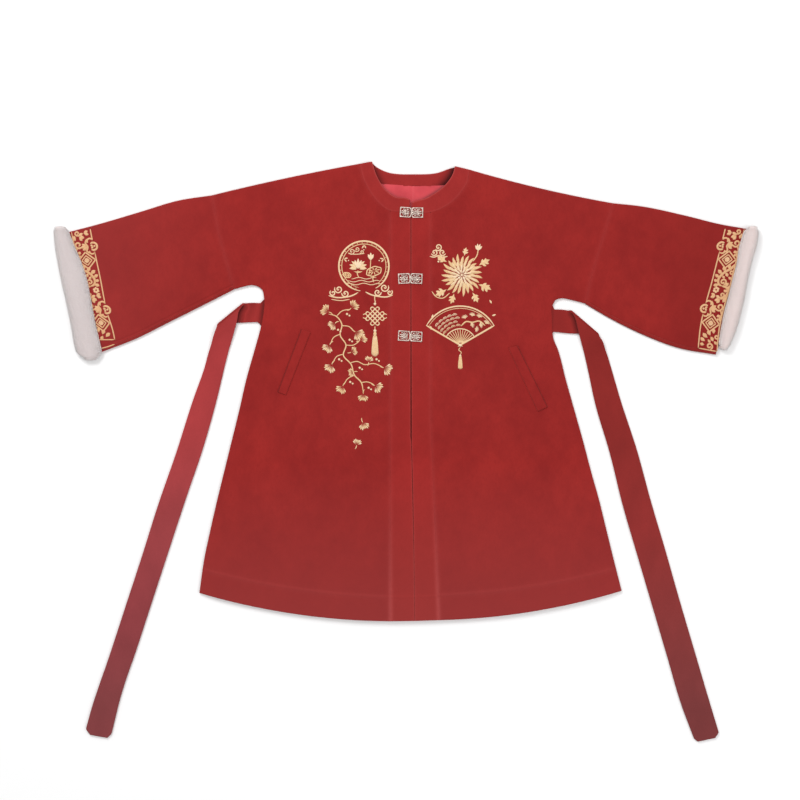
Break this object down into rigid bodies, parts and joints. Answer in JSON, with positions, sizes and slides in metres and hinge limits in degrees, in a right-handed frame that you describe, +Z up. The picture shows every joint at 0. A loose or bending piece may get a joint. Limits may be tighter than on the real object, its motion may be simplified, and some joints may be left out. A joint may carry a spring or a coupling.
{
  "type": "hanfu jacket",
  "caption": "Long flared wool jacket laid flat, front closed by metal clasps, with fur cuffs, embroidered bands, pocket welts and long side ties.",
  "frame": {"origin": "middle of the laid-out outline, on the surface the back panel lies on", "axes": "+X to the wearer's left, +Y from the hem to the neck, +Z up from the surface, out of the front"},
  "size_m": [1.3425, 1.103, 0.0146],
  "materials": {
    "wool": "red wool with a short soft nap",
    "wool_band": "the same wool, doubled in the bands",
    "lining": "smooth coral satin lining",
    "tie": "red wool, paler towards the ends",
    "fur": "pale long-haired fur",
    "thread": "gold and cream satin-stitch thread",
    "clasp": "worn pale champagne metal"
  },
  "bodies": {
    "root": {"back_panel": "wool", "right_front": "wool", "left_front": "wool", "right_front_band": "wool_band", "left_front_band": "wool_band", "right_neck_band": "wool_band", "left_neck_band": "wool_band", "back_neck_band": "wool_band", "lining": "lining", "right_sleeve": "wool", "left_sleeve": "wool", "right_fur_cuff": "fur", "left_fur_cuff": "fur", "right_tie": "tie", "left_tie": "tie", "right_pocket_welt": "wool", "left_pocket_welt": "wool", "clasp_top_right": "clasp", "clasp_top_left": "clasp", "clasp_middle_right": "clasp", "clasp_middle_left": "clasp", "clasp_bottom_right": "clasp", "clasp_bottom_left": "clasp"}
  },
  "joints": []
}
